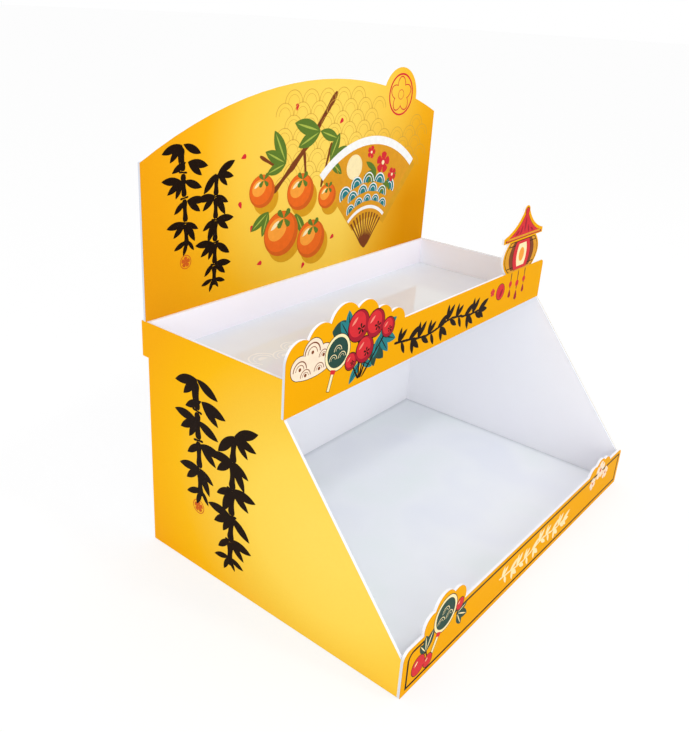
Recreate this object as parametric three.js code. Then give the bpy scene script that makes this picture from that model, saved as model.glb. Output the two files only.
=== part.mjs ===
// Countertop display stand of 3 mm white foam board: a slope-fronted bin below, a shallow tray
// on top of it, a contour-cut header standing in a pocket behind the tray, and two contour-cut
// front lips. All panels are flat sheets glued edge to face; the header only slips into its pocket.
// Millimetres, +Z up, front towards -Y, X to the right. The origin is under the middle of the stand.
import * as THREE from 'three';

// Board and overall sizes
const BOARD = 3;                  // thickness of every sheet
const WIDTH = 450;                // over the outer faces of the two side panels
const SIDE_HEIGHT = 236;          // top edges of the side panels and tray walls, and the header's seat
const BODY_DEPTH = 302;           // side panels, front edge to rear edge below the ears
const TRAY_SETBACK = 135;         // side panels, front edge back to the front of the tray
const FRONT_HEIGHT = 38.5;        // short upright front edge of the side panels
const SLOPE_TOP = 203.5;          // height at which the sloping edge would meet the front of the tray
const SHELF_UNDERSIDE = 201;      // underside of the tray floor, of the ears and of the upper lip

// Header pocket behind the tray wall
const EAR_PROJECTION = 8;         // the ears reach this far behind the body
const POCKET_PLAY = 0.25;         // play on each face and end of the header's tenon

// Header above its shoulders
const HEADER_LEFT_HEIGHT = 379;
const HEADER_RIGHT_HEIGHT = 396.5;
const HEADER_ARCH_RISE = 51.5;    // of the arched top, over the line between its two corners
const ROUNDEL_FROM_RIGHT = 75.5;  // round ear cut in one with the header: centre to right edge
const ROUNDEL_Z = 416.5;
const ROUNDEL_RADIUS = 32.5;

// Lips
const LOWER_LIP_HEIGHT = 45;
const UPPER_LIP_HEIGHT = 46;
const ROUND_CORNER = 9;           // top left of the lower lip
const SMALL_CORNER = 5;           // top right of both lips

// Cloud crests cut in one with the lips: discs as [x, centre height over the lip's top, radius]
const UPPER_CREST = [[18, 0, 18], [44, 8, 18], [74, 16, 20], [103, 14, 18], [127, 6, 15], [149, -1, 14]];
const LOWER_LEFT_CREST = [[40, 4, 12], [58, 11, 16], [78, 6, 14]];
const LOWER_RIGHT_CREST = [[79, -5, 13], [62, -2, 14], [46, -4, 12]];  // from the right edge

// Lantern tab cut in one with the upper lip: half widths, and heights over the lip's top
const LANTERN_FROM_RIGHT = 62;
const LANTERN_FOOT = 30;
const LANTERN_BELLY = 52;         // control point of the bulging side, about 11 mm beyond the foot
const LANTERN_BODY_HEIGHT = 36;
const LANTERN_CAP = 45;
const LANTERN_CAP_EDGE = 6;
const LANTERN_CAP_SWEEP = 19;     // control point of the hollow roof line
const LANTERN_KNOB = 6;
const LANTERN_KNOB_HEIGHT = 67;

const CURVE_SEGMENTS = 8;
const SAME_POINT = 1e-4;

// Places that follow from the sizes
const SHELF_TOP = SHELF_UNDERSIDE + BOARD;
const REAR = BODY_DEPTH + EAR_PROJECTION;
const STRIP_FRONT = REAR - BOARD;
const HEADER_FRONT = STRIP_FRONT - POCKET_PLAY - BOARD;
const TRAY_WALL_FRONT = HEADER_FRONT - POCKET_PLAY - BOARD;
const BIN_BACK_FRONT = BODY_DEPTH - BOARD;
const INSIDE_LEFT = BOARD;
const INSIDE_RIGHT = WIDTH - BOARD;
const UPPER_LIP_TOP = SHELF_UNDERSIDE + UPPER_LIP_HEIGHT;
const LANTERN_X = WIDTH - LANTERN_FROM_RIGHT;

// Quarter turns that stand a flat outline up as seen from the front, or from the side
const FRONT_VIEW = new THREE.Matrix4().makeBasis(
  new THREE.Vector3(1, 0, 0), new THREE.Vector3(0, 0, 1), new THREE.Vector3(0, -1, 0));
const SIDE_VIEW = new THREE.Matrix4().makeBasis(
  new THREE.Vector3(0, 1, 0), new THREE.Vector3(0, 0, 1), new THREE.Vector3(1, 0, 0));

const WHITE_BOARD = { color: 0xe6e3ea, roughness: 0.45, metalness: 0 };
const GLOSSY_BOARD = { color: 0xedf1f5, roughness: 0.12, metalness: 0 };
const YELLOW_PRINT = { color: 0xf8c03a, roughness: 0.4, metalness: 0 };
const AMBER_PRINT = { color: 0xf5ae18, roughness: 0.4, metalness: 0 };

const stand = new THREE.Group();
stand.position.set(-WIDTH / 2, BOARD - (REAR + BOARD) / 2, 0);

function polygon(points) {
  return new THREE.Shape(points.map(([x, y]) => new THREE.Vector2(x, y)));
}

function rectangle(left, right, low, high) {
  return polygon([[left, low], [right, low], [right, high], [left, high]]);
}

// Curves become points, and points that fall together are kept once
function cleanOutline(outline) {
  const points = outline.getPoints(CURVE_SEGMENTS);
  const apart = (a, b) => a.distanceTo(b) > SAME_POINT;
  return new THREE.Shape(points.filter((point, index) => (
    apart(point, points[(index + points.length - 1) % points.length]))));
}

function addSheet(name, outline, view, finish, x, y, z) {
  const geometry = new THREE.ExtrudeGeometry(cleanOutline(outline), { depth: BOARD, bevelEnabled: false });
  geometry.applyMatrix4(view);
  const mesh = new THREE.Mesh(geometry, new THREE.MeshStandardMaterial(finish));
  mesh.name = name;
  mesh.position.set(x, y, z);
  stand.add(mesh);
}

// An upright sheet across the stand, drawn in X and Z, with its front face at the given depth
function addCrossSheet(name, outline, finish, front) {
  addSheet(name, outline, FRONT_VIEW, finish, 0, front + BOARD, 0);
}

// An upright sheet along the stand, drawn in Y and Z
function addSideSheet(name, outline, finish, left) {
  addSheet(name, outline, SIDE_VIEW, finish, left, 0, 0);
}

// A level sheet, drawn in X and Y
function addLevelSheet(name, outline, finish, underside) {
  addSheet(name, outline, new THREE.Matrix4(), finish, 0, 0, underside);
}

// The two points where circles [x, z, radius] cross, the left one first
function crossings([ax, az, ar], [bx, bz, br]) {
  const span = Math.hypot(bx - ax, bz - az);
  const along = (ar * ar - br * br + span * span) / (2 * span);
  const across = Math.sqrt(ar * ar - along * along);
  const ux = (bx - ax) / span;
  const uz = (bz - az) / span;
  return [-1, 1]
    .map((side) => [ax + along * ux + side * across * uz, az + along * uz - side * across * ux])
    .sort((p, q) => p[0] - q[0]);
}

// Runs the outline leftwards along a circle, from one point on it to the next
function arcLeft(outline, [cx, cz, radius], from, to) {
  const angle = ([x, z]) => Math.atan2(z - cz, x - cx);
  outline.absarc(cx, cz, radius, angle(from), angle(to), false);
}

// Runs the outline leftwards over a row of overlapping discs that rises from a straight top edge
function crestLeft(outline, discs, top) {
  const raised = discs.map(([x, z, radius]) => [x, top + z, radius]).reverse();
  const onTop = ([x, z, radius], side) => [x + side * Math.sqrt(radius * radius - (z - top) ** 2), top];
  const higher = (points) => (points[0][1] > points[1][1] ? points[0] : points[1]);
  raised.forEach((disc, index) => {
    const before = raised[index - 1];
    const after = raised[index + 1];
    const from = before ? higher(crossings(before, disc)) : onTop(disc, 1);
    const to = after ? higher(crossings(disc, after)) : onTop(disc, -1);
    if (!before) outline.lineTo(...from);
    arcLeft(outline, disc, from, to);
  });
}

// Side panel: upright front, long slope, a seat under the upper lip, and an ear at the top rear
function sidePanelOutline() {
  const run = TRAY_SETBACK / (SLOPE_TOP - FRONT_HEIGHT);
  return polygon([
    [0, 0],
    [BODY_DEPTH, 0],
    [BODY_DEPTH, SHELF_UNDERSIDE],
    [REAR, SHELF_UNDERSIDE],
    [REAR, SIDE_HEIGHT],
    [TRAY_SETBACK, SIDE_HEIGHT],
    [TRAY_SETBACK, SHELF_UNDERSIDE],
    [(SHELF_UNDERSIDE - FRONT_HEIGHT) * run, SHELF_UNDERSIDE],
    [0, FRONT_HEIGHT],
  ]);
}

// Circle through the header's two top corners that rises by the arch's height between them
function headerArch() {
  const tilt = HEADER_RIGHT_HEIGHT - HEADER_LEFT_HEIGHT;
  const chord = Math.hypot(WIDTH, tilt);
  const radius = (chord * chord / 4 + HEADER_ARCH_RISE ** 2) / (2 * HEADER_ARCH_RISE);
  const drop = (radius - HEADER_ARCH_RISE) / chord;
  const middle = (HEADER_LEFT_HEIGHT + HEADER_RIGHT_HEIGHT) / 2;
  return [WIDTH / 2 + drop * tilt, middle - drop * WIDTH, radius];
}

// Header: a tenon between the side panels, shoulders that rest on them, an arched top, a roundel
function headerOutline() {
  const tenonLeft = INSIDE_LEFT + POCKET_PLAY;
  const tenonRight = INSIDE_RIGHT - POCKET_PLAY;
  const tenonFoot = SHELF_TOP + POCKET_PLAY;
  const leftCorner = [0, HEADER_LEFT_HEIGHT];
  const rightCorner = [WIDTH, HEADER_RIGHT_HEIGHT];
  const arch = headerArch();
  const roundel = [WIDTH - ROUNDEL_FROM_RIGHT, ROUNDEL_Z, ROUNDEL_RADIUS];
  const [roundelLeft, roundelRight] = crossings(arch, roundel);
  const outline = polygon([
    [tenonLeft, SIDE_HEIGHT],
    [tenonLeft, tenonFoot],
    [tenonRight, tenonFoot],
    [tenonRight, SIDE_HEIGHT],
    [WIDTH, SIDE_HEIGHT],
    rightCorner,
  ]);
  arcLeft(outline, arch, rightCorner, roundelRight);
  arcLeft(outline, roundel, roundelRight, roundelLeft);
  arcLeft(outline, arch, roundelLeft, leftCorner);
  outline.lineTo(0, SIDE_HEIGHT);
  return outline;
}

// Lantern: bulging body, overhanging cap with a hollow roof line, round knob on top
function lanternLeft(outline, top) {
  const capFoot = top + LANTERN_BODY_HEIGHT;
  const capTop = capFoot + LANTERN_CAP_EDGE;
  const knob = top + LANTERN_KNOB_HEIGHT;
  const middle = top + LANTERN_BODY_HEIGHT / 2;
  outline.lineTo(LANTERN_X + LANTERN_FOOT, top);
  outline.quadraticCurveTo(LANTERN_X + LANTERN_BELLY, middle, LANTERN_X + LANTERN_FOOT, capFoot);
  outline.lineTo(LANTERN_X + LANTERN_CAP, capFoot);
  outline.lineTo(LANTERN_X + LANTERN_CAP, capTop);
  outline.quadraticCurveTo(
    LANTERN_X + LANTERN_CAP_SWEEP, capTop + LANTERN_CAP_EDGE, LANTERN_X + LANTERN_KNOB, knob);
  outline.absarc(LANTERN_X, knob, LANTERN_KNOB, 0, Math.PI, false);
  outline.quadraticCurveTo(
    LANTERN_X - LANTERN_CAP_SWEEP, capTop + LANTERN_CAP_EDGE, LANTERN_X - LANTERN_CAP, capTop);
  outline.lineTo(LANTERN_X - LANTERN_CAP, capFoot);
  outline.lineTo(LANTERN_X - LANTERN_FOOT, capFoot);
  outline.quadraticCurveTo(LANTERN_X - LANTERN_BELLY, middle, LANTERN_X - LANTERN_FOOT, top);
}

// Starts a lip: its straight foot, right edge and rounded top right corner
function startLip(foot, top) {
  const outline = polygon([[0, foot], [WIDTH, foot], [WIDTH, top - SMALL_CORNER]]);
  outline.absarc(WIDTH - SMALL_CORNER, top - SMALL_CORNER, SMALL_CORNER, 0, Math.PI / 2, false);
  return outline;
}

function upperLipOutline() {
  const outline = startLip(SHELF_UNDERSIDE, UPPER_LIP_TOP);
  lanternLeft(outline, UPPER_LIP_TOP);
  crestLeft(outline, UPPER_CREST, UPPER_LIP_TOP);
  return outline;
}

function lowerLipOutline() {
  const top = LOWER_LIP_HEIGHT;
  const outline = startLip(0, top);
  crestLeft(outline, LOWER_RIGHT_CREST.map(([x, z, radius]) => [WIDTH - x, z, radius]), top);
  crestLeft(outline, LOWER_LEFT_CREST, top);
  outline.lineTo(ROUND_CORNER, top);
  outline.absarc(ROUND_CORNER, top - ROUND_CORNER, ROUND_CORNER, Math.PI / 2, Math.PI, false);
  return outline;
}

addSideSheet('left_side_panel', sidePanelOutline(), YELLOW_PRINT, 0);
addSideSheet('right_side_panel', sidePanelOutline(), YELLOW_PRINT, INSIDE_RIGHT);

addLevelSheet('bin_floor', rectangle(INSIDE_LEFT, INSIDE_RIGHT, 0, BIN_BACK_FRONT), GLOSSY_BOARD, 0);
addCrossSheet('bin_back_panel',
  rectangle(INSIDE_LEFT, INSIDE_RIGHT, 0, SHELF_UNDERSIDE), WHITE_BOARD, BIN_BACK_FRONT);
addLevelSheet('tray_floor',
  rectangle(INSIDE_LEFT, INSIDE_RIGHT, TRAY_SETBACK, REAR), GLOSSY_BOARD, SHELF_UNDERSIDE);

const pocketWall = rectangle(INSIDE_LEFT, INSIDE_RIGHT, SHELF_TOP, SIDE_HEIGHT);
addCrossSheet('tray_back_wall', pocketWall, WHITE_BOARD, TRAY_WALL_FRONT);
addCrossSheet('pocket_rear_strip', pocketWall, WHITE_BOARD, STRIP_FRONT);
addCrossSheet('header_panel', headerOutline(), YELLOW_PRINT, HEADER_FRONT);

addCrossSheet('upper_front_lip', upperLipOutline(), AMBER_PRINT, TRAY_SETBACK - BOARD);
addCrossSheet('lower_front_lip', lowerLipOutline(), AMBER_PRINT, -BOARD);

export default stand;
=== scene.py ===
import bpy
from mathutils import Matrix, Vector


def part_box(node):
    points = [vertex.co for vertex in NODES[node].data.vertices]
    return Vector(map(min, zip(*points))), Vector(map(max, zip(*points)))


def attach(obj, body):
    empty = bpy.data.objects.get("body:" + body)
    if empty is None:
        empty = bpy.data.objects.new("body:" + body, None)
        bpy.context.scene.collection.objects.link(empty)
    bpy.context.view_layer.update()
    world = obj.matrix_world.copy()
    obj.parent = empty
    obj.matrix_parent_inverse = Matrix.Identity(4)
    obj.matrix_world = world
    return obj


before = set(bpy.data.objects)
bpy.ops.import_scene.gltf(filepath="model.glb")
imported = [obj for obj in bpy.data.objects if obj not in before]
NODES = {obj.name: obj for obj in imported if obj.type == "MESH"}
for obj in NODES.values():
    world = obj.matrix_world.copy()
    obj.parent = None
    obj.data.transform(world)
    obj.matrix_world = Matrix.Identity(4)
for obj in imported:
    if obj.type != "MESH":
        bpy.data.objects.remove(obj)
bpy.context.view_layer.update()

import math

import bmesh
import bpy
from mathutils import Matrix, Vector

bl_info = {
    "name": "Countertop Display Stand",
    "version": (1, 0, 0),
    "blender": (4, 5, 0),
    "location": "View3D > Sidebar > Display Stand",
    "description": "Foam board display stand with printed faces and generic print motifs",
    "category": "Object",
}

# The prints are laid out in millimetres from the stand's front left corner, as its maker would
MM = 0.001
WIDTH_MM = 450.0
CORNER = Vector((-225.0, -153.5, 0.0))
BODY_DEPTH_MM = 302.0
# One level of print lies this far over the one below, and each mark this far over the mark before it
LEVEL_MM = 0.02
MARK_MM = 0.0004

# Orange peel of the skins and of the laminate, about 1.5 mm from bump to bump
ORANGE_PEEL = {"Scale": 700.0, "Detail": 2.0, "Roughness": 0.6}

# In metres: the skin of a board, under which its sawn core shows, and the length of a greyed end
SKIN = 0.00004
GREY_END = 0.003

# Where the photograph was taken from: metres, degrees, and shares of the picture's width
CAMERA_PLACE = (-0.64739, -0.39806, 0.50615)
CAMERA_TURN = (66.8895, -2.9392, -49.8791)
CAMERA_SHIFT = (0.02941, -0.02365)
LAMPS_AIM = Vector((0, 0, 0.15))


def linear(hex_colour):
    """Linear RGBA of an sRGB hex colour."""
    parts = [int(hex_colour[i:i + 2], 16) / 255 for i in (1, 3, 5)]
    return tuple(c / 12.92 if c <= 0.04045 else ((c + 0.055) / 1.055) ** 2.4 for c in parts) + (1.0,)


def colour_property(name, description, hex_colour):
    return bpy.props.FloatVectorProperty(
        name=name, description=description, subtype="COLOR", size=4, min=0.0, max=1.0,
        default=linear(hex_colour))


class DisplayStandBoard(bpy.types.PropertyGroup):
    """Colours and roughness of the white foam board."""

    wall: colour_property("Wall", "Satin white board of the tray walls", "#F9F4FD")
    cool: colour_property("Bin wall", "Satin white board of the sides and the bin's back", "#FBFCFF")
    shade: colour_property("Wall shade", "Faint cloudy tone in the white board", "#F7F6FC")
    shelf: colour_property("Shelf", "Undersides of the two floors", "#F9FBFD")
    shelf_shade: colour_property("Shelf shade", "Faint cloudy tone in the undersides", "#F0F4F8")
    cut: colour_property("Cut edge", "Sawn edge of the foamed core", "#F3F4F9")
    tray_roughness: bpy.props.FloatProperty(
        name="Tray roughness", description="Roughness of the tray floor", default=0.03, min=0.0, max=1.0)
    bin_roughness: bpy.props.FloatProperty(
        name="Bin roughness", description="Roughness of the bin floor", default=0.22, min=0.0, max=1.0)


class DisplayStandPrint(bpy.types.PropertyGroup):
    """Inks and film of the printed faces."""

    film: bpy.props.FloatProperty(
        name="Film", description="Depth of the coloured film seen at a sawn edge",
        default=0.0005, min=0.0, subtype="DISTANCE", unit="LENGTH")
    ink: bpy.props.FloatProperty(
        name="Ink", description="Thickness of a printed shape", default=0.00003, min=0.000005,
        subtype="DISTANCE", unit="LENGTH")
    amber: colour_property("Lip amber", "Ground colour of both lips", "#E5A206")
    dark: colour_property("Brush ink", "Dark brown of the brush marks", "#1D0F05")
    red: colour_property("Red", "Fruit red", "#D62C33")
    deep_red: colour_property("Deep red", "Shaded side of the fruit", "#A3172A")
    orange: colour_property("Orange", "Persimmon orange", "#EB6A1E")
    light_orange: colour_property("Light orange", "Lit side of the persimmons", "#F9A03A")
    green: colour_property("Leaf green", "Leaves", "#5E7A2B")
    teal: colour_property("Teal", "Waves and teal leaves", "#247C80")
    cream: colour_property("Cream", "Pale motifs", "#FBE9B4")
    white: colour_property("White", "Cloud scrolls, fan rim and foam", "#F7F7F5")
    peach: colour_property("Peach", "Clouds and blossom on the lips", "#F7E2C8")
    pine: colour_property("Pine", "Darkest leaves", "#26493F")
    ochre: colour_property("Ochre", "Fan and lantern panels", "#DE9A22")
    wood: colour_property("Wood brown", "Branches, fan ribs and lantern cap", "#7C3F1C")
    tone: colour_property("Tone", "Thin lines a shade darker than the ground", "#CFA13C")
    shadow: colour_property("Soft shadow", "Printed shade under the motifs", "#D89C1C")
    rosy: colour_property("Roundel red", "Line drawing of the roundel", "#D2601C")
    rose: colour_property("Rose", "Glints on the red fruit", "#EE8C78")
    lime: colour_property("Lime", "Veins of the leaves", "#A9B84C")


class DisplayStandStage(bpy.types.PropertyGroup):
    """Floor and light."""

    floor_size: bpy.props.FloatProperty(
        name="Floor", description="Side of the square floor", default=60.0, min=1.0,
        subtype="DISTANCE", unit="LENGTH")
    floor: colour_property("Floor colour", "Pale studio floor", "#FAFAFA")
    lift: bpy.props.FloatProperty(
        name="Lift", description="How far the floor that the camera sees is lifted to white",
        default=0.75, min=0.0, max=1.0, subtype="FACTOR")
    sky: bpy.props.FloatProperty(
        name="Sky", description="Strength of the soft light from all round", default=0.97, min=0.0)
    key: bpy.props.FloatProperty(
        name="Key light", description="Power of the large soft lamp at the left", default=12.5, min=0.0,
        subtype="POWER", unit="POWER")
    top: bpy.props.FloatProperty(
        name="Top light", description="Power of the smaller lamp above the front", default=6.0, min=0.0,
        subtype="POWER", unit="POWER")
    lens: bpy.props.FloatProperty(
        name="Lens", description="Focal length on a 36 mm sensor", default=39.2747, min=1.0)


def add(tree, kind, *values, **settings):
    """Adds a node with its settings and fills its inputs in order, or by name or number where a
    dict is given, with values or links. Returns the node."""
    node = tree.nodes.new("ShaderNode" + kind)
    for name, value in settings.items():
        setattr(node, name, value)
    filled = values[0].items() if values and isinstance(values[0], dict) else enumerate(values)
    for key, value in filled:
        if isinstance(value, bpy.types.NodeSocket):
            tree.links.new(value, node.inputs[key])
        else:
            node.inputs[key].default_value = value
    return node


def new_material(name):
    """An empty material and its shader. All the stand's surfaces are plastic, IOR about 1.49."""
    material = bpy.data.materials.new(name)
    material.use_nodes = True
    tree = material.node_tree
    tree.nodes.clear()
    shader = add(tree, "BsdfPrincipled", {"IOR": 1.49})
    add(tree, "OutputMaterial", shader.outputs[0])
    return material, tree, shader


def fill_ramp(node, stops):
    """Gives a colour ramp its (place, hex) stops."""
    elements = node.color_ramp.elements
    while len(elements) < len(stops):
        elements.new(0.5)
    for element, (place, colour) in zip(elements, stops):
        element.position = place
        element.color = linear(colour)
    return node.outputs[0]


def board_material(name, node, axis, front, board, tone, roughness, gloss, face=None):
    """White foam board lying across one axis: satin faces, a cellular sawn edge and, on the side
    that `front` names (-1 or 1), an optional face of its own, whose film shows as a thin coloured
    line along the edge. `face` is the function that makes that face's colour, from the tree, the
    parts of the place and the grain. `gloss` is the specular level."""
    material, tree, shader = new_material(name)
    cut = tuple(bpy.context.scene.display_stand_board.cut)
    film = bpy.context.scene.display_stand_print.film
    low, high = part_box(node)
    place = add(tree, "TexCoord").outputs["Object"]
    parts = add(tree, "SeparateXYZ", place).outputs
    middle, half = (low[axis] + high[axis]) / 2, (high[axis] - low[axis]) / 2

    # Cloudy tone of the sheet, about 70 mm from light to dark
    cloud = {"Vector": place, "Scale": 14.0, "Detail": 3.0, "Roughness": 0.55}
    cloud = add(tree, "TexNoise", cloud).outputs[0]
    grain = add(tree, "TexNoise", {"Vector": place, **ORANGE_PEEL}).outputs[0]
    # Cells of the foamed core are about 0.3 mm; drawn at 0.8 mm so that they show
    cells = add(tree, "TexVoronoi", {"Vector": place, "Scale": 1250.0}).outputs["Distance"]

    skin = add(tree, "Mix", {0: cloud, 6: board, 7: tone}, data_type="RGBA").outputs[2]
    offset = add(tree, "Math", parts[axis], middle, operation="SUBTRACT").outputs[0]
    depth = add(tree, "Math", offset, operation="ABSOLUTE").outputs[0]
    sawn = add(tree, "Math", depth, half - SKIN, operation="LESS_THAN").outputs[0]
    pores = add(tree, "Math", cells, 0.35, operation="MULTIPLY").outputs[0]
    core = add(tree, "Mix", {0: pores, 6: cut, 7: linear("#E6E5E3")}, data_type="RGBA").outputs[2]
    # The sawn core is greyer over GREY_END towards each board's left end than at the routed top edges
    end = add(tree, "MapRange", parts[0], low[0] + GREY_END, low[0]).outputs[0]
    core = add(tree, "Mix", {0: end, 6: core, 7: linear("#D3D7E0")}, data_type="RGBA").outputs[2]
    colour = add(tree, "Mix", {0: sawn, 6: skin, 7: core}, data_type="RGBA").outputs[2]
    rough = add(tree, "Math", grain, 0.06, roughness, operation="MULTIPLY_ADD").outputs[0]
    rough = add(tree, "Math", sawn, 0.75 - roughness, rough, operation="MULTIPLY_ADD").outputs[0]
    if face is not None:
        side = "GREATER_THAN" if front > 0 else "LESS_THAN"
        edge = middle + front * (half - film)
        printed = add(tree, "Math", parts[axis], edge, operation=side).outputs[0]
        # Where the film is sawn it is a little darker; on the far right panel it is darkened further with
        # painted shade, a khaki line
        dark = 0.75 if node == "right_side_panel" else 0.1
        sawn_film_and_painted_shade = add(tree, "Math", sawn, dark, operation="MULTIPLY").outputs[0]
        inked = add(tree, "Mix", {0: sawn_film_and_painted_shade, 6: face(tree, parts, grain), 7: linear("#6B5A2C")},
                    data_type="RGBA").outputs[2]
        colour = add(tree, "Mix", {0: printed, 6: colour, 7: inked}, data_type="RGBA").outputs[2]
    shader.inputs["Specular IOR Level"].default_value = gloss
    relief = add(tree, "Math", cells, sawn, operation="MULTIPLY").outputs[0]
    relief = add(tree, "Math", grain, 0.4, relief, operation="MULTIPLY_ADD").outputs[0]
    bump = add(tree, "Bump", {"Strength": 0.12, "Distance": 0.0002, "Height": relief}).outputs[0]
    for name, value in (("Base Color", colour), ("Roughness", rough), ("Normal", bump)):
        tree.links.new(value, shader.inputs[name])
    return material


def radial(tree, parts, axes, centre, reach):
    """Distance from a centre, each axis over its own reach. Centre and reach are in stand mm."""
    squares = []
    for axis, middle, span in zip(axes, centre, reach):
        offset = -(middle + CORNER[axis]) / span
        share = add(tree, "Math", parts[axis], 1 / (span * MM), offset, operation="MULTIPLY_ADD")
        squares.append(add(tree, "Math", share.outputs[0], 2.0, operation="POWER").outputs[0])
    total = add(tree, "Math", *squares, operation="ADD").outputs[0]
    return add(tree, "Math", total, operation="SQRT").outputs[0]


def print_grain(tree, grain, colour):
    """Screen of the inkjet print: a very slight change of tone from grain to grain."""
    amount = add(tree, "Math", grain, 0.10, operation="MULTIPLY").outputs[0]
    return add(tree, "Mix", {0: amount, 6: colour, 7: linear("#C98A10")},
               data_type="RGBA", blend_type="MULTIPLY").outputs[2]


def side_print(tree, parts, grain):
    """Sunlit yellow that deepens to orange towards the rear, the top and the foot."""
    reach = radial(tree, parts, (1, 2), (82.0, 106.0), (266.0, 240.0))
    colour = fill_ramp(add(tree, "ValToRGB", reach), [
        (0.08, "#F7D65C"), (0.30, "#F6D354"), (0.42, "#F3CA45"), (0.53, "#F3C238"),
        (0.68, "#F4B90E"), (0.78, "#F3B304"), (0.92, "#F1AA05")])
    return print_grain(tree, grain, colour)


def header_print(tree, parts, grain):
    """The same yellow, brightest behind the middle, deepest in the lower right corner."""
    reach = radial(tree, parts, (0, 2), (250.0, 360.0), (300.0, 300.0))
    colour = fill_ramp(add(tree, "ValToRGB", reach), [
        (0.14, "#F1CF5C"), (0.25, "#F0CB56"), (0.45, "#EEC242"), (0.60, "#EBAE1C"),
        (0.76, "#E6A012"), (0.90, "#E09712")])
    right = add(tree, "MapRange", parts[0], (280 + CORNER[0]) * MM, (405 + CORNER[0]) * MM).outputs[0]
    low = add(tree, "MapRange", parts[2], 430 * MM, 290 * MM).outputs[0]
    corner = add(tree, "Math", right, low, operation="MULTIPLY").outputs[0]
    colour = add(tree, "Mix", {0: corner, 6: colour, 7: linear("#D38B00")}, data_type="RGBA").outputs[2]
    return print_grain(tree, grain, colour)


def lip_print(tree, parts, grain):
    """Flat amber, the same on both lips."""
    return print_grain(tree, grain, tuple(bpy.context.scene.display_stand_print.amber))


def shelf_tone(tree, parts, grain):
    """Polished white board, cloudy in a greenish and a bluish white over some 100 mm, with painted
    shade: darker grey along its joints with the back and the right side."""
    place = add(tree, "TexCoord").outputs["Object"]
    cloud = {"Vector": place, "Scale": 9.0, "Detail": 2.0, "Roughness": 0.5}
    cloud = add(tree, "TexNoise", cloud).outputs[0]
    colour = fill_ramp(add(tree, "ValToRGB", cloud), [
        (0.34, "#ECF2F3"), (0.50, "#EFF2F6"), (0.66, "#EBEEF5")])
    # Painted contact shade: the floor is mixed towards grey within 7 mm of the right side and the back
    right = add(tree, "MapRange", parts[0], (440 + CORNER[0]) * MM, (447 + CORNER[0]) * MM).outputs[0]
    back = add(tree, "MapRange", parts[1], (292 + CORNER[1]) * MM, (299 + CORNER[1]) * MM).outputs[0]
    joint = add(tree, "Math", right, back, operation="MAXIMUM").outputs[0]
    joint = add(tree, "Math", joint, 0.55, operation="MULTIPLY").outputs[0]
    return add(tree, "Mix", {0: joint, 6: colour, 7: linear("#BCC0C8")}, data_type="RGBA").outputs[2]


def tray_tone(tree, parts, grain):
    """Top skin of the tray floor: a bluish white, a little greyer than the bin's, faintly cloudy."""
    place = add(tree, "TexCoord").outputs["Object"]
    cloud = {"Vector": place, "Scale": 11.0, "Detail": 2.0, "Roughness": 0.5}
    cloud = add(tree, "TexNoise", cloud).outputs[0]
    return fill_ramp(add(tree, "ValToRGB", cloud), [(0.36, "#E0E5EA"), (0.64, "#DADEE6")])


def ink(key):
    """Solvent ink under a matt laminate, with the slight mottle of a wide print. Each colour of the
    print settings is made once."""
    name = "printed_ink_" + key
    if name in bpy.data.materials:
        return bpy.data.materials[name]
    material, tree, shader = new_material(name)
    colour = tuple(getattr(bpy.context.scene.display_stand_print, key))
    place = add(tree, "TexCoord").outputs["Object"]
    mottle = {"Vector": place, "Scale": 160.0, "Detail": 3.0, "Roughness": 0.6}
    mottle = add(tree, "TexNoise", mottle).outputs[0]
    grain = add(tree, "TexNoise", {"Vector": place, **ORANGE_PEEL}).outputs[0]
    darker = tuple(c * 0.76 for c in colour[:3]) + (1.0,)
    mixed = add(tree, "Mix", {0: mottle, 6: colour, 7: darker}, data_type="RGBA").outputs[2]
    rough = add(tree, "Math", grain, 0.1, 0.38, operation="MULTIPLY_ADD").outputs[0]
    bump = add(tree, "Bump", {"Strength": 0.08, "Distance": 0.0002, "Height": grain}).outputs[0]
    for socket, value in (("Base Color", mixed), ("Roughness", rough), ("Normal", bump)):
        tree.links.new(value, shader.inputs[socket])
    shader.inputs["Specular IOR Level"].default_value = 0.04
    return material


def start_clean():
    """Object mode with nothing selected."""
    if bpy.context.object and bpy.context.object.mode != "OBJECT":
        bpy.ops.object.mode_set(mode="OBJECT")
    bpy.ops.object.select_all(action="DESELECT")


def choose(test):
    """In edit mode, selects the vertices that pass the test on their place, and nothing else."""
    mesh = bmesh.from_edit_mesh(bpy.context.object.data)
    for vertex in mesh.verts:
        vertex.select = bool(test(vertex.co))
    mesh.select_mode = {"VERT"}
    mesh.select_flush_mode()
    bmesh.update_edit_mesh(bpy.context.object.data)


def edit():
    """Edit mode with every vertex selected."""
    bpy.ops.object.mode_set(mode="EDIT")
    bpy.ops.mesh.select_mode(type="VERT")
    bpy.ops.mesh.select_all(action="SELECT")


def keep_stamp(name):
    """Leaves edit mode and keeps the finished flat shape as a mesh to copy."""
    bpy.ops.object.mode_set(mode="OBJECT")
    piece = bpy.context.object
    bpy.ops.object.transform_apply(location=True, rotation=True, scale=True)
    mesh = piece.data
    mesh.name = "stamp_" + name
    bpy.data.objects.remove(piece)
    return mesh


def cut_away(point, normal):
    """Bisects the shape and clears what lies on the side the normal points away from."""
    bpy.ops.mesh.select_all(action="SELECT")
    bpy.ops.mesh.bisect(
        plane_co=point, plane_no=normal, use_fill=False, clear_inner=True, clear_outer=False)


def circle(vertices):
    """A filled circle of radius 1, in edit mode."""
    bpy.ops.mesh.primitive_circle_add(vertices=vertices, radius=1.0, fill_type="NGON")
    edit()


def hollow(thickness):
    """Insets the circle and clears its middle, which leaves a flat ring."""
    bpy.ops.mesh.select_mode(type="FACE")
    bpy.ops.mesh.select_all(action="SELECT")
    bpy.ops.mesh.inset(thickness=thickness)
    bpy.ops.mesh.delete(type="FACE")


def stamp_disc():
    """A plain round."""
    circle(32)
    return keep_stamp("disc")


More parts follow.
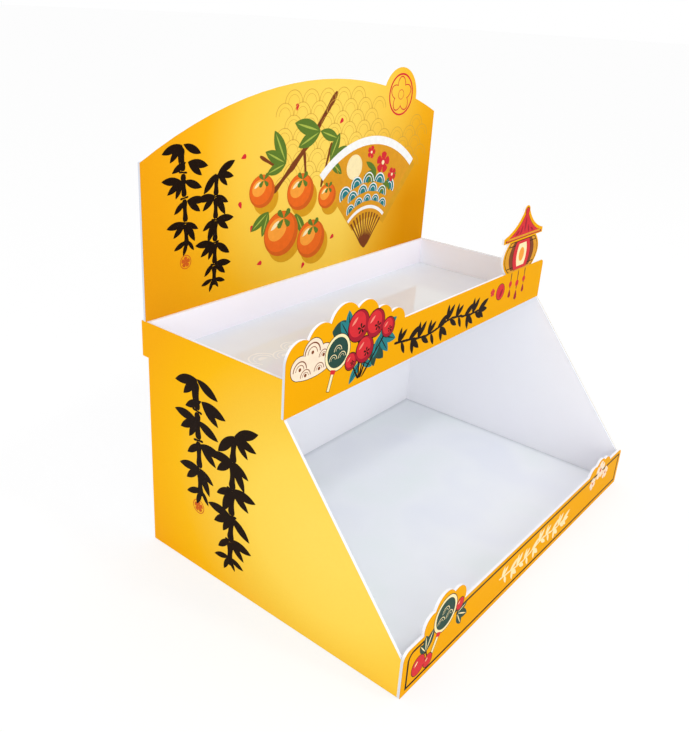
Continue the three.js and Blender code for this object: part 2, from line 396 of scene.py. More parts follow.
def stamp_leaf():
    """A slim pointed leaf: a slice off a wide circle, mirrored."""
    half = 0.26
    radius = (1 + half * half) / (2 * half)
    bpy.ops.mesh.primitive_circle_add(
        vertices=120, radius=radius, fill_type="NGON", location=(0, half - radius, 0))
    bpy.ops.object.transform_apply(location=True)
    edit()
    cut_away((0, 0, 0), (0, 1, 0))
    bpy.ops.object.mode_set(mode="OBJECT")
    mirror = bpy.context.object.modifiers.new("Mirror", "MIRROR")
    mirror.use_axis = (False, True, False)
    bpy.ops.object.modifier_apply(modifier=mirror.name)
    edit()
    bpy.ops.mesh.normals_make_consistent(inside=False)
    return keep_stamp("leaf")


def stamp_stroke():
    """A brush stroke: a strip whose width swells and thins along its length."""
    bpy.ops.mesh.primitive_grid_add(x_subdivisions=14, y_subdivisions=1, size=2)
    edit()
    widths = (0.55, 0.9, 1.0, 0.96, 0.86, 0.78, 0.74, 0.72, 0.74, 0.78, 0.86, 0.97, 1.0, 0.85, 0.45)
    for column, width in enumerate(widths):
        x = -1 + 2 * column / 14
        choose(lambda co: abs(co.x - x) < 0.01)
        bpy.ops.transform.resize(value=(1, width, 1))
    return keep_stamp("stroke")


def stamp_ring(thickness=0.12, name="ring", vertices=40):
    """A thin round line."""
    circle(vertices)
    hollow(thickness)
    return keep_stamp(name)


def stamp_arch(thickness=0.12, name="arch"):
    """Upper half of a ring, as in a row of waves, or of a whole disc."""
    circle(40)
    if thickness:
        hollow(thickness)
    cut_away((0, 0, 0), (0, 1, 0))
    return keep_stamp(name)


def stamp_petal():
    """A disc drawn in towards its foot."""
    circle(24)
    for limit in (0.3, -0.1, -0.5, -0.8):
        choose(lambda co: co.x < limit)
        bpy.ops.transform.resize(value=(1, 0.72, 1))
    return keep_stamp("petal")


def stamp_sector(inner=0.34, spread=42.0, name="sector"):
    """Leaf of an open folding fan: a broad ring cut to an angle."""
    circle(96)
    hollow(1 - inner)
    for side in (-1, 1):
        tilt = math.radians(90 - spread)
        cut_away((0, 0, 0), (-side * math.sin(tilt), math.cos(tilt), 0))
    return keep_stamp(name)


def stamp_block():
    """A plain bar: lines, folds and bands are cut from it by their size."""
    bpy.ops.mesh.primitive_plane_add(size=2)
    edit()
    return keep_stamp("block")


def stamp_elbow():
    """Quarter of a thin ring, where the border line turns its corner."""
    circle(64)
    hollow(0.263)
    cut_away((0, 0, 0), (0, 1, 0))
    cut_away((0, 0, 0), (-1, 0, 0))
    return keep_stamp("elbow")


def stamp_barrel():
    """Lantern body, 1 high each way and 1 wide at its belly: rows of a grid drawn in towards the ends."""
    bpy.ops.mesh.primitive_grid_add(x_subdivisions=1, y_subdivisions=12, size=2)
    edit()
    for row in range(13):
        y = -1 + row / 6
        choose(lambda co: abs(co.y - y) < 0.01)
        bpy.ops.transform.resize(value=(1 - 0.29 * y * y, 1, 1))
    return keep_stamp("barrel")


def stamp_roof():
    """Lantern cap in millimetres, 84 wide: a strip whose top edge rises in a hollow curve to a point,
    3 mm inside the cap's outline."""
    bpy.ops.mesh.primitive_grid_add(x_subdivisions=28, y_subdivisions=1, size=2)
    edit()
    bpy.ops.transform.resize(value=(42, 1, 1))
    for column in range(29):
        x = -42 + 3 * column
        reach = min(max(abs(x) + 3, 6), 45)
        along = (52 - math.sqrt(2704 - 52 * (45 - reach))) / 26
        rise = 12 * along * (1 - along) + 25 * along * along
        choose(lambda co: abs(co.x - x) < 0.1 and co.y > 0)
        bpy.ops.transform.translate(value=(0, rise, 0))
    return keep_stamp("roof")


MAKERS = {
    "disc": stamp_disc, "leaf": stamp_leaf, "stroke": stamp_stroke,
    "ring": stamp_ring, "arch": stamp_arch, "petal": stamp_petal, "sector": stamp_sector,
    "block": stamp_block, "elbow": stamp_elbow, "barrel": stamp_barrel, "roof": stamp_roof,
    "hoop": lambda: stamp_ring(0.085, "hoop", 64),
    "fine_arch": lambda: stamp_arch(0.045, "fine_arch"),
    "dome": lambda: stamp_arch(0.0, "dome"),
    "rim": lambda: stamp_sector(0.93, 42.0, "rim"),
}
STAMPS = {}


def stamp(kind):
    """The flat shape of that kind, made when it is first asked for."""
    if kind not in STAMPS:
        start_clean()
        STAMPS[kind] = MAKERS[kind]()
    return STAMPS[kind]


# Each printed face: where its drawing's right, up and outward directions lie, and its corner
FACES = {
    "left": (Matrix(((0, 0, -1), (-1, 0, 0), (0, 1, 0))), Vector((0.0, BODY_DEPTH_MM, 0.0))),
    "right": (Matrix(((0, 0, 1), (1, 0, 0), (0, 1, 0))), Vector((WIDTH_MM, 118.0, 0.0))),
    "header": (Matrix(((1, 0, 0), (0, 0, -1), (0, 1, 0))), Vector((0.0, 303.75, 0.0))),
    "upper": (Matrix(((1, 0, 0), (0, 0, -1), (0, 1, 0))), Vector((0.0, 132.0, 0.0))),
    "lower": (Matrix(((1, 0, 0), (0, 0, -1), (0, 1, 0))), Vector((0.0, -3.0, 0.0))),
    "tray": (Matrix.Identity(3), Vector((0.0, 0.0, 204.0))),
}
PLACES = {"left": "left_side", "right": "right_side", "header": "header", "upper": "upper_lip",
          "lower": "lower_lip", "tray": "tray_floor"}


def print_piece(face, motif, level, key, marks):
    """Copies of the flat stamps (kind, x, up, degrees, half length, half width), joined, given the
    thickness of the ink and laid on a face. A higher level lies over a lower one."""
    name = PLACES[face] + "_" + motif + "_print"
    copies = []
    for index, (kind, x, up, degrees, long, wide) in enumerate(marks):
        mesh = stamp(kind).copy()
        lift = level * LEVEL_MM + index * MARK_MM
        mesh.transform(Matrix.Translation((x, up, lift)) @ Matrix.Rotation(math.radians(degrees), 4, "Z")
                       @ Matrix.Diagonal((long, wide, 1, 1)))
        copy = bpy.data.objects.new(name, mesh)
        bpy.context.scene.collection.objects.link(copy)
        copies.append(copy)
    start_clean()
    for copy in copies:
        copy.select_set(True)
    bpy.context.view_layer.objects.active = copies[0]
    if len(copies) > 1:
        bpy.ops.object.join()
    piece = bpy.context.view_layer.objects.active
    piece.name = name
    piece.data.name = name
    depth = bpy.context.scene.display_stand_print.ink / MM
    solid = piece.modifiers.new("Ink", "SOLIDIFY")
    solid.thickness = depth
    solid.offset = 1.0
    bpy.ops.object.modifier_apply(modifier=solid.name)
    turn, corner = FACES[face]
    piece.data.transform(Matrix.Translation((corner + CORNER) * MM) @ Matrix.Scale(MM, 4) @ turn.to_4x4())
    piece.data.materials.clear()
    piece.data.materials.append(ink(key))
    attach(piece, "root")
    return piece


def around(x, up, distance, degrees):
    """The point at that distance and direction from another."""
    a = math.radians(degrees)
    return x + distance * math.cos(a), up + distance * math.sin(a)


def on_each(rounds, kind, right, rise, degrees, long, wide):
    """A mark on each (x, up, radius) round, its place and its size as shares of the radius."""
    return [(kind, x + right * r, up + rise * r, degrees, long * r, wide * r) for x, up, r in rounds]


def edges(marks, width):
    """The same marks, larger by the width of a dark edge."""
    return [(kind, x, up, a, long + width, wide + width) for kind, x, up, a, long, wide in marks]


def veins(leaves, length, width):
    """A thin leaf down the middle of each leaf, by those shares of its size."""
    return [(kind, x, up, a, long * length, wide * width) for kind, x, up, a, long, wide in leaves]


def spray(x, up, length, angles, width=1.0):
    """Leaves that hang from one point, as on a bamboo twig."""
    marks = []
    for number, angle in enumerate(angles):
        half = length / 2 * (1 - 0.12 * (number % 3))
        marks.append(("leaf", *around(x, up, half, angle), angle, half, half * width))
    return marks


def stem(x, up, to_x, to_up, width):
    """One stroke from point to point."""
    degrees = math.degrees(math.atan2(to_up - up, to_x - x))
    half = math.hypot(to_x - x, to_up - up) / 2
    return ("stroke", (x + to_x) / 2, (up + to_up) / 2, degrees, half, width / 2)


def culm(x, foot, top, width, joints, lean=0.0):
    """Bamboo stem: brush strokes end to end, and a short stroke across each joint."""
    marks = []
    step = (top - foot) / joints
    for number in range(joints):
        middle = foot + step * (number + 0.5)
        drift = lean * (middle - foot)
        upright = 90 - math.degrees(math.atan(lean))
        marks.append(("stroke", x + drift, middle, upright, step * 0.46, width / 2))
    for number in range(1, joints):
        level = foot + step * number
        drift = lean * (level - foot)
        marks.append(("stroke", x + drift, level, 8 - 16 * (number % 2), width * 0.8, width * 0.16))
    return marks


def blossom(x, up, radius, turn=0.0, petals=5, fill=0.52):
    """Petals round a point."""
    marks = []
    for number in range(petals):
        angle = turn + 360.0 * number / petals
        marks.append(("petal", *around(x, up, radius * 0.55, angle), angle, radius * 0.5, radius * fill))
    return marks


def bamboo_group(x, up):
    """Two staggered bamboo stems in brush ink, as high as they are dark: 74 by 180 mm."""
    marks = culm(x + 16, up + 60, up + 178, 8.0, 4, -0.04) + culm(x + 55, up + 2, up + 142, 8.5, 5, 0.03)
    for right, rise, length, angles, width in (
            (12, 180, 30, (198, 228, 258, 335), 1.25), (18, 160, 32, (-14, -40, 208), 1.25),
            (12, 139, 30, (176, 212, 242, -22), 1.25), (16, 116, 30, (-6, -38, 220), 1.25),
            (15, 90, 28, (188, 222, -30, -62), 1.25), (17, 68, 22, (205, 250, -55), 1.2),
            (60, 142, 31, (24, -14, -46, 228), 1.25), (58, 116, 30, (186, 220, -30, -60), 1.25),
            (57, 87, 30, (-4, -36, 212, 248), 1.25), (56, 58, 30, (178, 214, 244, -36), 1.25),
            (55, 32, 28, (-8, -42, 224), 1.25), (54, 12, 20, (196, 248, -58, -18), 1.2)):
        marks += spray(x + right, up + rise, length, angles, width)
    return marks


def leafy_branch(start, end, up, size):
    """A wandering brush twig with pointed leaves in pairs and threes above and below it."""
    marks = []
    count = 9
    step = (end - start) / count
    for number in range(count):
        x = start + step * (number + 0.5)
        level = up + size * 0.10 * (1, 0.2, -0.8, -1, -0.2, 0.9, 0.6, -0.5, -0.9)[number]
        slope = (-7, -9, -6, 5, 9, 4, -7, -6, 2)[number]
        marks.append(("stroke", x, level, slope, step * 0.56, size * 0.05))
        leaf = size * (0.62, 0.78, 0.70)[number % 3]
        marks += spray(x - step * 0.2, level, leaf, ((38, 72), (28,), (50, 84))[number % 3], 1.25)
        marks += spray(x + step * 0.1, level, leaf * 0.9, ((-64,), (-42, -76), (-34,))[number % 3], 1.25)
    marks += spray(end, up - size * 0.08, size * 0.8, (24, -6, -40), 1.2)
    return marks


def round_fan(face, level, x, up, radius, degrees):
    """Prints a round fan with a dark edge, a cream rim and handle, and a pine leaf with small waves.
    The handle points the given way."""
    handle = ("block", *around(x, up, radius * 1.5, degrees), degrees)
    print_piece(face, "fan_edge", level, "dark", [
        ("disc", x, up, 0, radius + 0.7, radius + 0.7), handle + (radius * 0.6 + 0.6, radius * 0.1 + 0.6)])
    print_piece(face, "fan_rim", level + 0.2, "cream", [
        ("disc", x, up, 0, radius, radius), handle + (radius * 0.6, radius * 0.1)])
    print_piece(face, "fan_leaf", level + 0.4, "pine", [
        ("disc", x, up, 0, radius * 0.84, radius * 0.84)])
    waves = []
    for right, rise in ((-0.36, -0.34), (0.36, -0.34), (0.0, 0.1)):
        for size in (0.32, 0.18):
            waves.append(("arch", x + right * radius, up + rise * radius, 0, size * radius, size * radius))
    print_piece(face, "fan_wave", level + 0.6, "cream", waves)
    print_piece(face, "fan_bow", level + 0.6, "red", [
        ("block", *around(x, up, radius * 1.06, degrees), degrees + 90, radius * 0.2, radius * 0.12)])


class DISPLAYSTAND_OT_boards(bpy.types.Operator):
    """Give the ten boards of the stand their skins, sawn edges and printed faces"""

    bl_idname = "displaystand.boards"
    bl_label = "Finish the Boards"

    def execute(self, context):
        board = context.scene.display_stand_board
        wall, shade, cool = tuple(board.wall), tuple(board.shade), tuple(board.cool)
        shelf, shelf_shade = tuple(board.shelf), tuple(board.shelf_shade)
        # Expanded PVC foam board: satin skin, matt cellular edge; the floors have a polished skin, and
        # a matt laminate over the print keeps its colours deep
        plan = [
            ("left_side_panel", "foam_board_printed_left_side", 0, -1, cool, shade, 0.40, 0.03, side_print),
            ("right_side_panel", "foam_board_printed_right_side", 0, 1,
             cool, shade, 0.40, 0.03, side_print),
            ("header_panel", "foam_board_printed_header", 1, -1, wall, shade, 0.40, 0.01, header_print),
            ("upper_front_lip", "foam_board_printed_upper_lip", 1, -1, wall, shade, 0.40, 0.01, lip_print),
            ("lower_front_lip", "foam_board_printed_lower_lip", 1, -1, wall, shade, 0.40, 0.01, lip_print),
            ("bin_back_panel", "foam_board_satin_bin_back", 1, -1, cool, shade, 0.40, 0.3, None),
            ("tray_back_wall", "foam_board_satin_tray_wall", 1, -1, wall, shade, 0.40, 0.3, None),
            ("pocket_rear_strip", "foam_board_satin_pocket_strip", 1, -1, wall, shade, 0.40, 0.3, None),
            ("bin_floor", "foam_board_polished_bin_floor", 2, 1, shelf, shelf_shade,
             board.bin_roughness, 0.35, shelf_tone),
            ("tray_floor", "foam_board_polished_tray_floor", 2, 1, shelf, shelf_shade,
             board.tray_roughness, 0.26, tray_tone),
        ]
        for node, name, axis, front, colour, tone, roughness, gloss, face in plan:
            piece = NODES[node]
            piece.data.materials.clear()
            piece.data.materials.append(
                board_material(name, node, axis, front, colour, tone, roughness, gloss, face))
        return {"FINISHED"}


class DISPLAYSTAND_OT_side_art(bpy.types.Operator):
    """Print bamboo and a small blossom on the outer faces of both sides"""

    bl_idname = "displaystand.side_art"
    bl_label = "Print the Sides"

    def execute(self, context):
        for face in ("left", "right"):
            print_piece(face, "bamboo", 1, "dark", bamboo_group(54, 22))
            print_piece(face, "blossom", 1, "rosy", (
                blossom(67, 70, 5.5, 18) + [("ring", 67, 70, 0, 7.6, 7.6)]))
        return {"FINISHED"}


class DISPLAYSTAND_OT_header_art(bpy.types.Operator):
    """Print bamboo, a persimmon branch, a folding fan, waves and the roundel on the header"""

    bl_idname = "displaystand.header_art"
    bl_label = "Print the Header"

    def execute(self, context):
        print_piece("header", "bamboo", 3, "dark", [
            (kind, 36 + x * 0.86, 250 + up * 0.78, a, long * 0.76, wide * 0.76)
            for kind, x, up, a, long, wide in bamboo_group(0, 0)])
        print_piece("header", "blossom", 3, "rosy", (
            blossom(48, 283, 5.0, 18) + [("ring", 48, 283, 0, 6.8, 6.8)]))

        # Tone on tone waves under the arch, in the traditional overlapping scales
        arch_x, arch_up, arch_reach = 243, -77, 512
        waves = []
        for row in range(8):
            for number in range(11):
                x, up = 178 + (row % 2) * 13 + number * 26, 334 + row * 12
                clear = math.hypot(x - arch_x, up + 13 - arch_up) < arch_reach - abs(x - arch_x) * 0.02
                roundel = math.hypot(x - 374.5, up + 5 - 416.5) < 36
                if clear and not roundel and x < 436:
                    waves += [("fine_arch", x, up, 0, 13, 13), ("fine_arch", x, up, 0, 8.5, 8.5)]
        print_piece("header", "waves", 1, "tone", waves)

        fruits = [(178, 288, 26), (226, 274, 23), (148, 336, 18), (206, 328, 21), (250, 318, 15)]
        print_piece("header", "fruit_shade", 2, "shadow", [
            ("disc", x + 6, up - 8, 0, r, r * 0.92) for x, up, r in fruits])
        print_piece("header", "branch", 3, "wood", [
            ("stroke", 238, 402, 50, 32, 3.6), ("stroke", 206, 368, 42, 26, 3.8),
            ("stroke", 178, 344, 40, 18, 3.0), ("stroke", 212, 352, 98, 18, 2.2),
            ("stroke", 160, 362, 152, 18, 2.0), ("stroke", 246, 352, 72, 24, 2.0)])
        leaves = (spray(234, 388, 42, (165, 202, -18), 1.5) + spray(182, 360, 38, (118, 155, 196), 1.5)
                  + spray(252, 356, 36, (18, 62, -38), 1.5) + spray(200, 306, 34, (248, 300), 1.4)
                  + spray(158, 314, 30, (214, 250), 1.4))
        print_piece("header", "leaf", 4, "green", leaves)
        print_piece("header", "leaf_vein", 5, "lime", veins(leaves, 0.82, 0.14))
        print_piece("header", "fruit", 6, "rosy", on_each(fruits, "disc", 0, 0, 0, 1, 0.92))
        print_piece("header", "fruit_body", 7, "orange", (
            on_each(fruits, "disc", -0.08, 0.08, 20, 0.88, 0.8)))
        print_piece("header", "fruit_light", 8, "light_orange", (
            on_each(fruits, "disc", -0.24, 0.2, 24, 0.56, 0.44)))
        print_piece("header", "fruit_glint", 9, "cream", (
            on_each(fruits, "leaf", -0.38, 0.38, 35, 0.3, 0.34)))
        print_piece("header", "fruit_crown", 9, "green", [
            mark for x, up, r in fruits
            for mark in blossom(x + r * 0.12, up + r * 0.6, r * 0.46, 45, 4, 0.34)])
        print_piece("header", "drift", 2, "red", [
            ("petal", x, up, a, 3.6, 3.0) for x, up, a in (
                (122, 372, 20), (134, 300, 70), (146, 262, 10), (268, 396, 40), (196, 414, 80),
                (262, 270, 30), (118, 326, 110), (214, 246, 60))])

        pivot_x, pivot_up, reach = 324, 244, 132
        print_piece("header", "fan_shade", 2, "shadow", [
            ("sector", pivot_x + 5, pivot_up - 7, 0, reach, reach)])
        print_piece("header", "fan", 4, "ochre", [("sector", pivot_x, pivot_up, 0, reach, reach)])
        folds = []
        for number in range(11):
            angle = 52 + number * 7.6
            folds.append(("block", *around(pivot_x, pivot_up, 84, angle), angle, 36, 0.35))
        print_piece("header", "fan_fold", 5, "shadow", folds)
        print_piece("header", "fan_rim", 6, "white", [
            ("rim", pivot_x, pivot_up, 0, reach, reach),
            ("rim", pivot_x, pivot_up, 0, reach * 0.40, reach * 0.40)])
        ribs = []
        for number in range(11):
            angle = 51 + number * 7.8
            ribs.append(("stroke", *around(pivot_x, pivot_up, 28, angle), angle, 22, 1.3))
        ribs.append(("disc", pivot_x, pivot_up + 6, 0, 4, 4))
        print_piece("header", "fan_ribs", 3, "wood", ribs)
        sea, foam = [], []
        for row, distance in enumerate((80, 69, 58)):
            for number in range(5 - row % 2):
                turn = (number - (4 - row % 2) / 2) * 15.5
                place = (*around(pivot_x, pivot_up, distance, 90 + turn), turn)
                wide = distance * 0.135
                sea.append(("dome",) + place + (wide, wide * 1.1))
                foam += [("arch",) + place + (wide * 0.98, wide * 1.08),
                         ("arch",) + place + (wide * 0.6, wide * 0.7)]
        print_piece("header", "fan_sea", 6, "teal", sea)
        print_piece("header", "fan_foam", 7, "white", foam)
        print_piece("header", "fan_moon", 6, "cream", [("disc", 296, 344, 0, 14, 14)])
        print_piece("header", "fan_blossom", 8, "red", (
            blossom(350, 344, 12, 10) + blossom(370, 328, 8, 40) + blossom(326, 358, 7, 0)))
        print_piece("header", "fan_heart", 9, "cream", [
            ("disc", 350, 344, 0, 2.6, 2.6), ("disc", 370, 328, 0, 1.8, 1.8),
            ("disc", 326, 358, 0, 1.6, 1.6)])
        print_piece("header", "fan_pine", 7, "green", (
            spray(338, 336, 24, (190, 220, 246, 150), 1.1) + spray(360, 322, 20, (230, 262, 300, 20), 1.1)))

        x, up = 375.5, 419.0
        print_piece("header", "roundel", 2, "red", (
            [("hoop", x, up, 0, 23.5, 23.5), ("ring", x, up, 0, 5.6, 5.6)]
            + [("arch", *around(x, up, 9.5, a), a - 90, 8.0, 11.0) for a in (18, 90, 162, 234, 306)]))
        return {"FINISHED"}


class DISPLAYSTAND_OT_upper_lip_art(bpy.types.Operator):
    """Print cloud scrolls, a round fan, fruit, leaves, a twig and the lantern on the upper lip, and
    pale scrolls on the tray floor behind it"""

    bl_idname = "displaystand.upper_lip_art"
    bl_label = "Print the Upper Lip"

    def execute(self, context):
        print_piece("upper", "spray", 1, "dark", leafy_branch(150, 304, 221, 28))
        print_piece("upper", "seal", 1, "red", blossom(332, 232, 4.5, 18))

        puffs = [("disc", 17, 241, 0, 11, 10.5), ("disc", 33, 251, 0, 12, 12),
                 ("disc", 47, 244, 0, 11, 10.5), ("disc", 32, 237, 0, 25, 8.5)]
        print_piece("upper", "cloud_edge", 0.8, "dark", edges(puffs, 0.6))
        print_piece("upper", "cloud", 1, "peach", puffs)
        scrolls = []
        for x, up, r in ((17, 239, 8.5), (32, 250, 10), (24, 232, 6.5), (41, 233, 6.5), (46, 244, 6)):
            scrolls += [("arch", x, up, 0, r, r), ("arch", x, up, 0, r * 0.62, r * 0.62),
                        ("disc", x, up + 1, 0, 1.6, 1.6)]
        print_piece("upper", "scroll", 1.5, "wood", scrolls)
        # Pale cloud scrolls on the tray floor behind the lip's left end
        print_piece("tray", "scroll", 0.3, "white", [
            (kind, x, up, 0, r * size, r * size) for x, up, r in (
                (48, 214, 13), (70, 222, 15), (92, 214, 13), (112, 224, 12), (30, 206, 10))
            for kind, size in (("arch", 1.0), ("arch", 0.68), ("dome", 0.34))])
        fruits = [(92, 258, 14.5), (117, 254, 13), (137, 245, 9.5), (103, 233, 12.5), (84, 227, 8)]
        leaves = (spray(80, 250, 26, (96, 126), 1.6) + spray(124, 240, 28, (-20, -52, 250, 25), 1.5)
                  + spray(98, 224, 24, (232, -32), 1.4))
        round_fan("upper", 2.2, 65, 241, 16.5, 252)
        print_piece("upper", "leaf", 0.3, "teal", leaves)
        print_piece("upper", "pine_leaf", 0.1, "pine", (
            spray(56, 262, 22, (10, -30), 1.7) + spray(114, 234, 26, (-44, -78), 1.8)))
        print_piece("upper", "leaf_vein", 0.7, "dark", veins(leaves, 0.85, 0.12))
        print_piece("upper", "stem", 2, "dark", [
            stem(x, up, 97 + (x - 97) * 0.1, 207, 2.2) for x, up, r in fruits])
        skins = on_each(fruits, "disc", 0, 0, 0, 1, 1)
        print_piece("upper", "fruit_edge", 3, "dark", edges(skins, 0.7))
        print_piece("upper", "fruit", 4, "deep_red", skins)
        print_piece("upper", "fruit_light", 5, "red", on_each(fruits, "disc", -0.12, 0.12, 0, 0.8, 0.8))
        print_piece("upper", "fruit_glint", 6, "rose", on_each(fruits, "leaf", -0.4, 0.36, 40, 0.36, 0.36))
        print_piece("upper", "fruit_crown", 6, "dark", [
            mark for x, up, r in fruits
            for mark in blossom(x + r * 0.25, up - r * 0.25, r * 0.34, 20, 5, 0.3)])

        # Lantern on its tab: the tab's foot is at 247, its cap begins 36 mm higher
        x, foot = 388, 247
        middle = foot + 18
        print_piece("upper", "lantern_edge", 1, "dark", [
            ("barrel", x, middle, 0, 38.6, 17.2), ("roof", x, foot + 38.3, 0, 1, 1),
            ("disc", x, foot + 66.5, 0, 4.6, 4.6)])
        print_piece("upper", "lantern", 2, "ochre", [("barrel", x, middle, 0, 37.6, 16.4)])
        print_piece("upper", "lantern_gore", 3, "wood", [("barrel", x, middle, 0, 29, 16.4)])
        print_piece("upper", "lantern_line", 4, "dark", [
            ("barrel", x, middle, 0, 20.8, 16.6), ("block", x, foot + 30.5, 0, 31, 0.5),
            ("block", x, foot + 5.5, 0, 31, 0.5)])
        print_piece("upper", "lantern_front", 5, "red", [("barrel", x, middle, 0, 20, 16.4)])
        print_piece("upper", "lantern_panel", 6, "cream", [("barrel", x, middle, 0, 11.5, 13)])
        print_piece("upper", "lantern_glow", 7, "light_orange", [("disc", x, middle, 0, 6, 8)])
        print_piece("upper", "lantern_cap", 2, "red", [
            ("roof", x, foot + 38.7, 0, 0.97, 0.95), ("disc", x, foot + 66.5, 0, 3.9, 3.9)])
        print_piece("upper", "lantern_eave", 3, "ochre", [
            ("block", x, foot + 39.8, 0, 39.5, 1.1), ("block", x, foot + 1.0, 0, 25, 1.2)])
        print_piece("upper", "lantern_tile", 3, "deep_red", [
            ("leaf", x, foot + 52, 90, 9, 7), ("leaf", x - 8, foot + 46.5, 66, 5.5, 6),
            ("leaf", x + 8, foot + 46.5, 114, 5.5, 6), ("leaf", x - 17, foot + 44.4, 28, 5, 5),
            ("leaf", x + 17, foot + 44.4, 152, 5, 5)])
        cords, beads, brushes = [], [], []
        for place, drop, bead, brush in ((x - 16, 9, 3.4, 5), (x, 11, 3.8, 6), (x + 16, 9, 3.4, 5)):
            cords.append(("stroke", place, foot - 1 - drop, 90, drop, 1.1))
            beads.append(("disc", place, foot - 5 - drop, 0, bead, bead))
            brushes.append(("petal", place, foot - 2.5 - drop * 2.5, -90, brush, 1.6 + brush * 0.4))
        print_piece("upper", "tassel", 1, "wood", cords)
        print_piece("upper", "tassel_bead", 2, "red", beads)
        print_piece("upper", "tassel_brush", 3, "deep_red", brushes)
        plum = ("disc", x - 38, foot - 18, 0)
        print_piece("upper", "plum_edge", 1, "dark", [plum + (9.6, 9.6)])
        print_piece("upper", "plum", 2, "red", [plum + (9, 9)])
        print_piece("upper", "plum_shade", 3, "deep_red", [("leaf", x - 36, foot - 20, 60, 5.5, 8)])
        return {"FINISHED"}


class DISPLAYSTAND_OT_lower_lip_art(bpy.types.Operator):
    """Print the border line, a cream twig, a round fan, fruit and blossom on the lower lip"""

    bl_idname = "displaystand.lower_lip_art"
    bl_label = "Print the Lower Lip"

    def execute(self, context):
        print_piece("lower", "border", 1, "dark", [
            ("block", 225.3, 5.8, 0, 219.5, 1.15), ("block", 229.1, 40.4, 0, 214.6, 1.15),
            ("block", 443.7, 23.1, 90, 18.4, 1.15), ("block", 6.9, 19.0, 90, 14.1, 1.15),
            ("elbow", 14.5, 32.8, 0, 8.75, 8.75)])
        print_piece("lower", "spray", 1, "cream", leafy_branch(158, 296, 22.5, 22))
        fruits = [(23, 19, 9.5), (38, 14, 6.5), (83, 45, 6)]
        leaves = spray(33, 26, 21, (64, 96, 128), 1.9) + spray(80, 36, 21, (-30, -62, 10), 1.7)
        round_fan("lower", 3.2, 59.5, 49, 17.5, 242)
        print_piece("lower", "leaf", 2, "pine", leaves)
        print_piece("lower", "leaf_vein", 2.5, "cream", veins(leaves, 0.85, 0.14))
        print_piece("lower", "stem", 3, "dark", [
            stem(38, 14, 33, 27, 1.9), stem(23, 19, 33, 27, 1.9), stem(83, 45, 79, 35, 1.9)])
        skins = on_each(fruits, "disc", 0, 0, 0, 1, 1)
        print_piece("lower", "fruit_edge", 4, "dark", edges(skins, 0.6))
        print_piece("lower", "fruit", 5, "red", skins)
        print_piece("lower", "fruit_glint", 6, "cream", (
            on_each(fruits, "leaf", -0.35, 0.35, 40, 0.32, 0.36)))
        flowers = [(388, 43, 11, 90), (370, 33, 7.5, 40), (405, 33, 7.5, 10)]
        print_piece("lower", "blossom", 2, "peach", [
            mark for x, up, r, a in flowers for mark in blossom(x, up, r, a)])
        print_piece("lower", "blossom_heart", 3, "rosy", [
            ("disc", x, up, 0, r * 0.25, r * 0.25) for x, up, r, a in flowers])
        return {"FINISHED"}


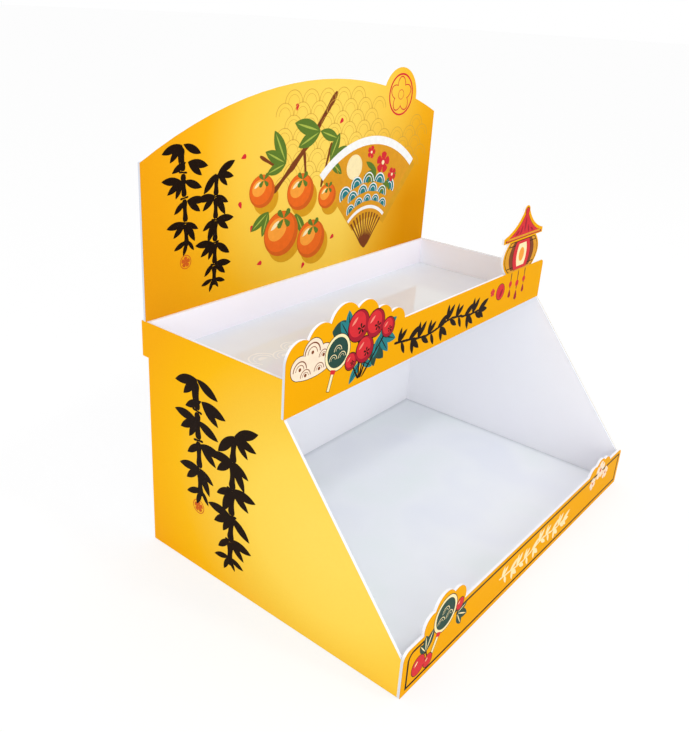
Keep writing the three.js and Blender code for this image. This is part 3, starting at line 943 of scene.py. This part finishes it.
class DISPLAYSTAND_OT_stage(bpy.types.Operator):
    """Lay the pale floor, set the soft light and stand the camera where the photograph was taken"""

    bl_idname = "displaystand.stage"
    bl_label = "Set the Stage"

    def execute(self, context):
        settings = context.scene.display_stand_stage
        start_clean()
        bpy.ops.mesh.primitive_plane_add(size=settings.floor_size, location=(0, 0, -0.0005))
        floor = context.object
        floor.name = "studio_floor"
        bpy.ops.object.transform_apply(location=True)
        # Matt paper with a fine tooth. What the camera sees of it is lifted towards white, so that
        # the background is white and the stand's shadow stays
        material, tree, shader = new_material("studio_paper_floor")
        place = add(tree, "TexCoord").outputs["Object"]
        tooth = add(tree, "TexNoise", {"Vector": place, "Scale": 400.0, "Detail": 2.0}).outputs[0]
        tooth = add(tree, "Math", tooth, 0.05, operation="MULTIPLY").outputs[0]
        colour = add(tree, "Mix", {0: tooth, 6: tuple(settings.floor), 7: linear("#E8E8E8")},
                     data_type="RGBA").outputs[2]
        tree.links.new(colour, shader.inputs["Base Color"])
        shader.inputs["Roughness"].default_value = 0.9
        shader.inputs["Specular IOR Level"].default_value = 0.1
        seen = add(tree, "LightPath").outputs["Is Camera Ray"]
        lift = add(tree, "Math", seen, settings.lift, operation="MULTIPLY").outputs[0]
        white = add(tree, "Emission", linear("#FFFFFF"), 1.0).outputs[0]
        mixed = add(tree, "MixShader", lift, shader.outputs[0], white).outputs[0]
        tree.links.new(mixed, tree.nodes["Material Output"].inputs[0])
        floor.data.materials.append(material)

        world = context.scene.world or bpy.data.worlds.new("Studio")
        context.scene.world = world
        world.use_nodes = True
        tree = world.node_tree
        tree.nodes.clear()
        path = add(tree, "LightPath").outputs
        # Camera, mirror and glass see full white; the light on the stand is the sky's own strength
        seen = path["Is Glossy Ray"]
        for other in ("Is Transmission Ray", "Is Camera Ray"):
            seen = add(tree, "Math", seen, path[other], operation="MAXIMUM").outputs[0]
        sky = settings.sky
        strength = add(tree, "Math", seen, 1.0 - sky, sky, operation="MULTIPLY_ADD").outputs[0]
        white = add(tree, "Background", linear("#FFFFFF"), strength).outputs[0]
        add(tree, "OutputWorld", white)

        for name, power, size, place in (
                ("key_softbox", settings.key, 1.8, (-1.2, -1.8, 0.9)),
                ("top_lamp", settings.top, 0.3, (0.24, -0.95, 2.0))):
            lamp = bpy.data.lights.new(name, "AREA")
            lamp.shape = "DISK"
            lamp.size = size
            lamp.energy = power
            light = bpy.data.objects.new(name, lamp)
            light.location = place
            light.rotation_euler = (LAMPS_AIM - light.location).to_track_quat("-Z", "Y").to_euler()
            context.scene.collection.objects.link(light)

        lens = bpy.data.cameras.new("photo_camera")
        lens.sensor_width = 36.0
        lens.lens = settings.lens
        lens.shift_x, lens.shift_y = CAMERA_SHIFT
        lens.clip_start, lens.clip_end = 0.01, 50.0
        camera = bpy.data.objects.new("photo_camera", lens)
        camera.location = CAMERA_PLACE
        camera.rotation_euler = [math.radians(a) for a in CAMERA_TURN]
        context.scene.collection.objects.link(camera)
        context.scene.camera = camera
        context.scene.view_settings.view_transform = "Standard"
        return {"FINISHED"}


class DISPLAYSTAND_PT_panel(bpy.types.Panel):
    """Lists the steps that finish the stand and set the stage."""

    bl_idname = "DISPLAYSTAND_PT_panel"
    bl_label = "Display Stand"
    bl_space_type = "VIEW_3D"
    bl_region_type = "UI"
    bl_category = "Display Stand"

    def draw(self, context):
        for operator in OPERATORS:
            self.layout.operator(operator.bl_idname)
        for group in ("display_stand_board", "display_stand_print", "display_stand_stage"):
            box = self.layout.box()
            settings = getattr(context.scene, group)
            for name in settings.__annotations__:
                box.prop(settings, name)


OPERATORS = (
    DISPLAYSTAND_OT_boards, DISPLAYSTAND_OT_side_art, DISPLAYSTAND_OT_header_art,
    DISPLAYSTAND_OT_upper_lip_art, DISPLAYSTAND_OT_lower_lip_art, DISPLAYSTAND_OT_stage)
GROUPS = (DisplayStandBoard, DisplayStandPrint, DisplayStandStage)
CLASSES = GROUPS + OPERATORS + (DISPLAYSTAND_PT_panel,)


def register():
    for cls in CLASSES:
        bpy.utils.register_class(cls)
    bpy.types.Scene.display_stand_board = bpy.props.PointerProperty(type=DisplayStandBoard)
    bpy.types.Scene.display_stand_print = bpy.props.PointerProperty(type=DisplayStandPrint)
    bpy.types.Scene.display_stand_stage = bpy.props.PointerProperty(type=DisplayStandStage)


def unregister():
    del bpy.types.Scene.display_stand_stage
    del bpy.types.Scene.display_stand_print
    del bpy.types.Scene.display_stand_board
    for cls in reversed(CLASSES):
        bpy.utils.unregister_class(cls)


def main():
    register()
    bpy.ops.displaystand.stage()
    bpy.ops.displaystand.boards()
    bpy.ops.displaystand.side_art()
    bpy.ops.displaystand.header_art()
    bpy.ops.displaystand.upper_lip_art()
    bpy.ops.displaystand.lower_lip_art()
    for mesh in STAMPS.values():
        bpy.data.meshes.remove(mesh)
    STAMPS.clear()


if __name__ == "__main__":
    main()
